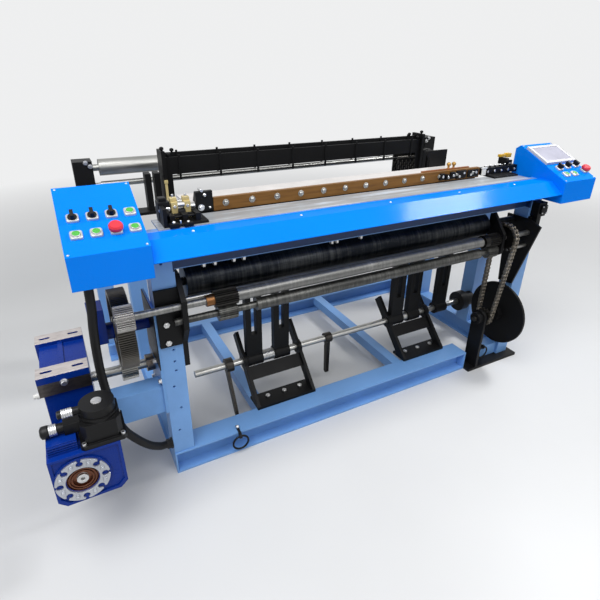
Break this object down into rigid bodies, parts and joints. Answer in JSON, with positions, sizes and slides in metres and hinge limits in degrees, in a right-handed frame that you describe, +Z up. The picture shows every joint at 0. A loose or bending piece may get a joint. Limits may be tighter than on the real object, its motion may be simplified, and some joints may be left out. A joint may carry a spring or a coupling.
{
  "type": "wire weaving machine",
  "caption": "Floor-standing wire weaving machine with blue frame, two sloping operator consoles, geared take-up rollers, chain wind-up, rocking sley and heald frames.",
  "frame": {"origin": "bottom centre of the bounding box, on the floor", "axes": "X along the machine to the operator's right, Y from the operator to the back, Z up"},
  "size_m": [2.44, 1.227, 1.11],
  "materials": {
    "frame_blue": "semi-gloss light blue machine paint",
    "cover_blue": "gloss azure sheet-metal paint",
    "deep_blue": "gloss deep blue casting paint",
    "black_steel": "satin black",
    "steel": "ground bright steel",
    "gear_steel": "oiled machined steel",
    "dark_roll": "worn dark roller face",
    "silver_trim": "satin silver",
    "brown_board": "brown laminated board",
    "white_board": "white",
    "film_plate": "bright plate under protective film",
    "green_cap": "green",
    "red_cap": "red",
    "black_plastic": "black",
    "hose": "black ribbed hose"
  },
  "bodies": {
    "frame": {"front_beam": "frame_blue", "portal": "frame_blue", "base_frame": "frame_blue", "foot_right": "black_steel", "harness_guides": "black_steel", "table_plate": "film_plate", "breast_cover": "cover_blue", "console_left": "cover_blue", "console_right": "cover_blue", "button_rings": "silver_trim", "hmi": "silver_trim", "bracket_left": "black_steel", "side_plates_right": "black_steel", "shaft_supports": "black_steel", "frame_bolts": "steel", "gearbox_main": "deep_blue", "gearbox_first": "deep_blue", "flange_ring": "silver_trim", "servo": "black_plastic", "gear_bracket": "frame_blue", "gear_axle": "deep_blue", "back_brackets": "black_steel", "weft_units": "black_steel", "conduit": "hose", "chain": "gear_steel", "guide_rod": "steel"},
    "takeup_drive": {"roller_upper": "steel", "gears_upper": "gear_steel"},
    "press_roller": {"roller_lower": "steel"},
    "takeup_roll": {"takeup_roller": "dark_roll"},
    "large_gear": {"big_gear": "gear_steel"},
    "output_shaft": {"drive_shaft": "steel"},
    "windup": {"windup_shaft": "gear_steel", "windup_disc": "black_steel"},
    "sley": {"rocker_shaft": "steel", "sley_frame": "black_steel", "race_board": "white_board", "batten": "brown_board", "batten_bolts": "steel"},
    "heald_a": {"heald_front": "black_steel"},
    "heald_b": {"heald_rear": "black_steel"},
    "back_roll_a": {"back_roll_upper": "steel"},
    "back_roll_b": {"back_roll_lower": "steel"},
    "hang_ring_l": {"ring_left": "black_steel"},
    "hang_ring_r": {"ring_right": "black_steel"},
    "sel_l1_body": {"sel_l1": "black_plastic"},
    "sel_l2_body": {"sel_l2": "black_plastic"},
    "sel_l3_body": {"sel_l3": "black_plastic"},
    "btn_l1_body": {"btn_l1": "green_cap"},
    "btn_l2_body": {"btn_l2": "green_cap"},
    "btn_l3_body": {"btn_l3": "green_cap"},
    "btn_l4_body": {"btn_l4": "green_cap"},
    "stop_l_body": {"stop_l": "red_cap"},
    "sel_r1_body": {"sel_r1": "black_plastic"},
    "sel_r2_body": {"sel_r2": "black_plastic"},
    "sel_r3_body": {"sel_r3": "black_plastic"},
    "btn_r1_body": {"btn_r1": "green_cap"},
    "btn_r2_body": {"btn_r2": "green_cap"},
    "stop_r_body": {"stop_r": "red_cap"}
  },
  "joints": [
    {"name": "takeup_turn", "type": "hinge", "parent": "frame", "child": "takeup_drive", "pos_m": [0.077, -0.4065, 0.729], "axis": [1, 0, 0], "continuous": true, "deforming": ["chain"]},
    {"name": "press_turn", "type": "hinge", "parent": "frame", "child": "press_roller", "pos_m": [0.077, -0.4065, 0.675], "axis": [1, 0, 0], "continuous": true},
    {"name": "large_gear_turn", "type": "hinge", "parent": "frame", "child": "large_gear", "pos_m": [0.077, -0.26625, 0.62021], "axis": [1, 0, 0], "continuous": true},
    {"name": "output_turn", "type": "hinge", "parent": "frame", "child": "output_shaft", "pos_m": [0.077, -0.24739, 0.44371], "axis": [1, 0, 0], "continuous": true},
    {"name": "windup_turn", "type": "hinge", "parent": "frame", "child": "windup", "pos_m": [0.077, -0.3825, 0.2968], "axis": [1, 0, 0], "continuous": true},
    {"name": "takeup_roll_turn", "type": "hinge", "parent": "frame", "child": "takeup_roll", "pos_m": [0.077, -0.3115, 0.772], "axis": [1, 0, 0], "continuous": true},
    {"name": "sley_rock", "type": "hinge", "parent": "frame", "child": "sley", "pos_m": [0.077, -0.1345, 0.25], "axis": [-1, 0, 0], "range_deg": [0, 8]},
    {"name": "heald_a_lift", "type": "slide", "parent": "frame", "child": "heald_a", "axis": [0, 0, 1], "range_m": [-0.02, 0.02]},
    {"name": "heald_b_lift", "type": "slide", "parent": "frame", "child": "heald_b", "axis": [0, 0, 1], "range_m": [-0.02, 0.02]},
    {"name": "back_roll_a_turn", "type": "hinge", "parent": "frame", "child": "back_roll_a", "pos_m": [0.077, 0.5635, 1.008], "axis": [1, 0, 0], "continuous": true},
    {"name": "back_roll_b_turn", "type": "hinge", "parent": "frame", "child": "back_roll_b", "pos_m": [0.077, 0.5635, 0.93], "axis": [1, 0, 0], "continuous": true},
    {"name": "ring_l_swing", "type": "hinge", "parent": "frame", "child": "hang_ring_l", "pos_m": [-0.585, -0.3985, 0.088], "axis": [-1, 0, 0], "range_deg": [0, 80]},
    {"name": "ring_r_swing", "type": "hinge", "parent": "frame", "child": "hang_ring_r", "pos_m": [0.797, -0.3865, 0.098], "axis": [-1, 0, 0], "range_deg": [0, 80]},
    {"name": "sel_l1_turn", "type": "hinge", "parent": "frame", "child": "sel_l1_body", "pos_m": [-1.0265, -0.34019, 1.04003], "axis": [0, -0.4147, 0.91], "range_deg": [-45, 45]},
    {"name": "sel_l2_turn", "type": "hinge", "parent": "frame", "child": "sel_l2_body", "pos_m": [-0.9745, -0.34019, 1.04003], "axis": [0, -0.4147, 0.91], "range_deg": [-45, 45]},
    {"name": "sel_l3_turn", "type": "hinge", "parent": "frame", "child": "sel_l3_body", "pos_m": [-0.9225, -0.34019, 1.04003], "axis": [0, -0.4147, 0.91], "range_deg": [-45, 45]},
    {"name": "btn_l1_press", "type": "slide", "parent": "frame", "child": "btn_l1_body", "axis": [0, 0.4147, -0.91], "range_m": [0, 0.003], "stiffness_N_per_m": 1500},
    {"name": "btn_l2_press", "type": "slide", "parent": "frame", "child": "btn_l2_body", "axis": [0, 0.4147, -0.91], "range_m": [0, 0.003], "stiffness_N_per_m": 1500},
    {"name": "btn_l3_press", "type": "slide", "parent": "frame", "child": "btn_l3_body", "axis": [0, 0.4147, -0.91], "range_m": [0, 0.003], "stiffness_N_per_m": 1500},
    {"name": "btn_l4_press", "type": "slide", "parent": "frame", "child": "btn_l4_body", "axis": [0, 0.4147, -0.91], "range_m": [0, 0.003], "stiffness_N_per_m": 1500},
    {"name": "stop_l_press", "type": "slide", "parent": "frame", "child": "stop_l_body", "axis": [0, 0.4147, -0.91], "range_m": [0, 0.004], "stiffness_N_per_m": 2000},
    {"name": "sel_r1_turn", "type": "hinge", "parent": "frame", "child": "sel_r1_body", "pos_m": [1.057, -0.38932, 1.01764], "axis": [0, -0.4147, 0.91], "range_deg": [-45, 45]},
    {"name": "sel_r2_turn", "type": "hinge", "parent": "frame", "child": "sel_r2_body", "pos_m": [1.12, -0.38477, 1.01971], "axis": [0, -0.4147, 0.91], "range_deg": [-45, 45]},
    {"name": "sel_r3_turn", "type": "hinge", "parent": "frame", "child": "sel_r3_body", "pos_m": [1.182, -0.38204, 1.02096], "axis": [0, -0.4147, 0.91], "range_deg": [-45, 45]},
    {"name": "btn_r1_press", "type": "slide", "parent": "frame", "child": "btn_r1_body", "axis": [0, 0.4147, -0.91], "range_m": [0, 0.003], "stiffness_N_per_m": 1500},
    {"name": "btn_r2_press", "type": "slide", "parent": "frame", "child": "btn_r2_body", "axis": [0, 0.4147, -0.91], "range_m": [0, 0.003], "stiffness_N_per_m": 1500},
    {"name": "stop_r_press", "type": "slide", "parent": "frame", "child": "stop_r_body", "axis": [0, 0.4147, -0.91], "range_m": [0, 0.004], "stiffness_N_per_m": 2000}
  ],
  "couplings": [
    {"joint": "press_turn", "follows": "takeup_turn", "ratio": -1},
    {"joint": "large_gear_turn", "follows": "takeup_turn", "ratio": -0.29091},
    {"joint": "output_turn", "follows": "takeup_turn", "ratio": 1},
    {"joint": "windup_turn", "follows": "takeup_turn", "ratio": 1.5385},
    {"joint": "heald_b_lift", "follows": "heald_a_lift", "ratio": -1}
  ]
}
